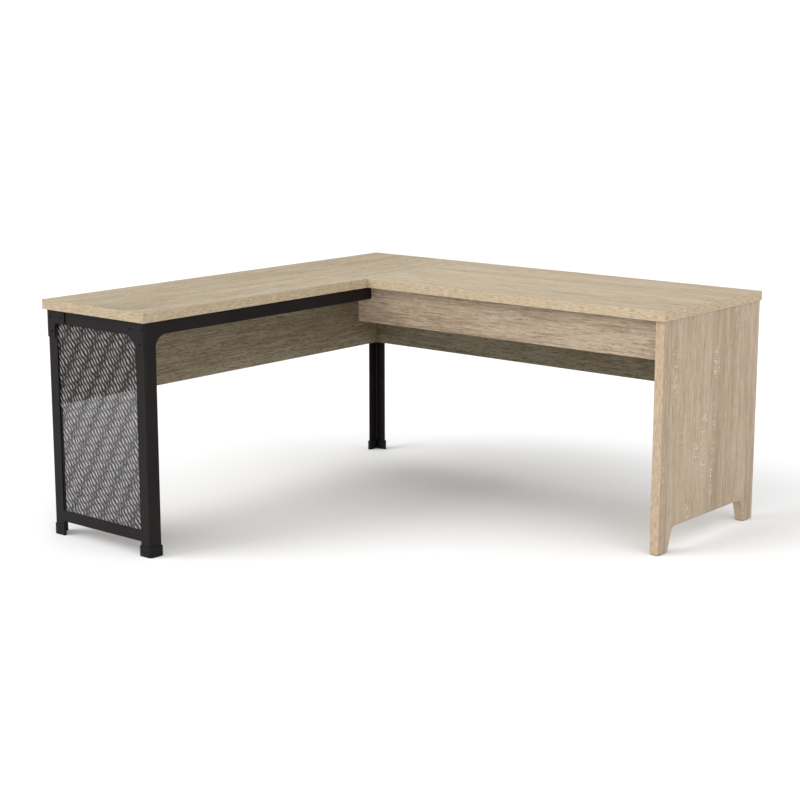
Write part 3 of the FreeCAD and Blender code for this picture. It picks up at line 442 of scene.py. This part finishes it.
def strand_outline(low_x, high_x, phase, swing):
    """The zigzag of one strand, as points (x, height over its middle). It swings up and down
    between short level bonds. The wave starts at the phase, in diamonds."""
    bond = BOND_SHARE / 2
    corners = [(-bond, swing), (bond, swing), (0.5 - bond, -swing), (0.5 + bond, -swing)]
    diamonds = int((high_x - low_x) / STRAND_LENGTH) + 2
    points = []
    for turn in range(-1, diamonds):
        for along, height in corners:
            x = low_x + (turn + along + phase) * STRAND_LENGTH
            points.append((x, height))
    points = np.array(points)
    inside = (points[:, 0] > low_x) & (points[:, 0] < high_x)
    ends = np.array([low_x, high_x])
    end_heights = np.interp(ends, points[:, 0], points[:, 1])
    middle = points[inside]
    return np.vstack([[ends[0], end_heights[0]], middle, [ends[1], end_heights[1]]])


def strand_mesh(outline, section, y, z):
    """One strand: its section swept along the outline. Returns points and faces."""
    count = len(outline)
    points = np.zeros((count, 4, 3))
    points[:, :, 0] = outline[:, 0:1]
    points[:, :, 1] = y + section[:, 0]
    points[:, :, 2] = z + outline[:, 1:2] + section[:, 1]
    starts = np.arange(count - 1)[:, None] * 4
    sides = np.arange(4)[None, :]
    following = (sides + 1) % 4
    faces = np.stack([starts + sides, starts + following, starts + 4 + following,
                      starts + 4 + sides], axis=-1).reshape(-1, 4)
    last = (count - 1) * 4
    caps = np.array([[3, 2, 1, 0], [last, last + 1, last + 2, last + 3]])
    return points.reshape(-1, 3), np.vstack([faces, caps])


def mesh_object(name, points, faces):
    """An object from arrays of points and four-cornered faces."""
    data = bpy.data.meshes.new(name)
    data.vertices.add(len(points))
    data.vertices.foreach_set("co", np.asarray(points, np.float32).ravel())
    data.loops.add(faces.size)
    data.loops.foreach_set("vertex_index", faces.astype(np.int32).ravel())
    data.polygons.add(len(faces))
    data.polygons.foreach_set("loop_start", np.arange(0, faces.size, 4, dtype=np.int32))
    data.update(calc_edges=True)
    data.validate()
    return new_object(name, data)


def expanded_metal():
    """The strands of the end frame's sheet, in a few bands from the bottom up. Neighbouring
    strands meet edge to edge at their bonds."""
    low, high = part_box("mesh_panel")
    material = painted_sheen_mesh_coat()
    section = strand_section()
    rise = section[:, 1].max() - section[:, 1].min()
    pitch = STRAND_HEIGHT / 2
    swing = (pitch - rise) / 2
    reach = swing + rise / 2
    rows = int((high.z - low.z - 2 * reach) / pitch) + 1
    bands = np.array_split(np.arange(rows), SHEET_PIECES)
    for number, band in enumerate(bands, start=1):
        points = []
        faces = []
        count = 0
        for row in band:
            outline = strand_outline(low.x, high.x, 0.5 * (row % 2), swing)
            row_points, row_faces = strand_mesh(outline, section, (low.y + high.y) / 2,
                                                low.z + reach + row * pitch)
            points.append(row_points)
            faces.append(row_faces + count)
            count += len(row_points)
        piece = mesh_object(f"expanded_metal_{number}", np.vstack(points), np.vstack(faces))
        piece.data.materials.append(material)
        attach(piece, "root")
        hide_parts("mesh_panel")


# ---------------------------------------------------------------- stage, light and camera

def floor():
    signs = ((-1, -1), (1, -1), (1, 1), (-1, 1))
    corners = [(x * FLOOR_REACH, y * FLOOR_REACH, 0) for x, y in signs]
    mesh = bpy.data.meshes.new("floor")
    mesh.from_pydata(corners, [], [(0, 1, 2, 3)])
    mesh.materials.append(pale_floor())
    new_object("floor", mesh)


def soft_light(name, source, spread, strength):
    """Even light over the whole stage from the direction of a source, as from a very large
    softbox that fills a cone of the given spread, in degrees."""
    data = bpy.data.lights.new(name, "SUN")
    data.angle = math.radians(spread)
    data.energy = strength
    light = new_object(name, data)
    light.rotation_euler = (-Vector(source)).to_track_quat("-Z", "Y").to_euler()


def studio():
    """A white surround that lights softly, a broad light overhead, a key from the front left
    and a weak fill from the right."""
    scene = bpy.context.scene
    world = bpy.data.worlds.new("studio")
    world.use_nodes = True
    tree = world.node_tree
    background = tree.nodes["Background"]
    background.inputs["Color"].default_value = (1, 1, 1, 1)
    seen = tree.nodes.new("ShaderNodeLightPath").outputs["Is Camera Ray"]
    strength = remap(tree, seen, 0.0, 1.0, SURROUND_LIGHT, SURROUND_WHITE)
    tree.links.new(strength, background.inputs["Strength"])
    scene.world = world
    scene.view_settings.view_transform = "Standard"
    soft_light("overhead", (0.1, -0.2, 1.0), 95, 1.75)
    soft_light("key", (-0.52, -0.68, 0.52), 45, 1.80)
    soft_light("fill", (0.85, -0.25, 0.40), 60, 0.95)


def camera():
    data = bpy.data.cameras.new("camera")
    data.lens = CAMERA_LENS
    data.sensor_width = CAMERA_SENSOR
    data.clip_end = CAMERA_REACH
    piece = new_object("camera", data)
    piece.location = CAMERA_PLACE
    piece.rotation_euler = (math.radians(CAMERA_TILT), 0, math.radians(CAMERA_TURN))
    bpy.context.scene.camera = piece


camera()
studio()
floor()
finish_nodes()
expanded_metal()
